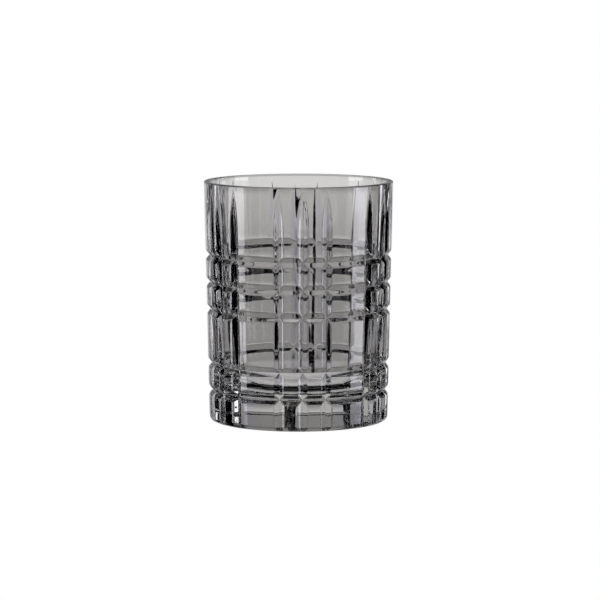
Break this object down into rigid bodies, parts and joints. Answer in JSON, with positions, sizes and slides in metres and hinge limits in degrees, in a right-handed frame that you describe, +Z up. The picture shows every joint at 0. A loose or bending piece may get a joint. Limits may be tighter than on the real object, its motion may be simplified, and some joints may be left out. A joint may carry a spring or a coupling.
{
  "type": "whiskey tumbler",
  "caption": "Heavy-based straight-sided whiskey tumbler in smoke-grey pressed glass, with a plaid of V-grooves cut round and up its wall.",
  "frame": {"origin": "centre of the base, on the plane that the standing ring rests on", "axes": "+Z up along the tumbler's axis, towards the rim; -Y is the front, +X is to the right seen from the front"},
  "size_m": [0.0804, 0.0804, 0.102],
  "materials": {
    "glass": "clear smoke-grey pressed glass, fire-polished"
  },
  "bodies": {
    "root": {"tumbler": "glass"}
  },
  "joints": []
}
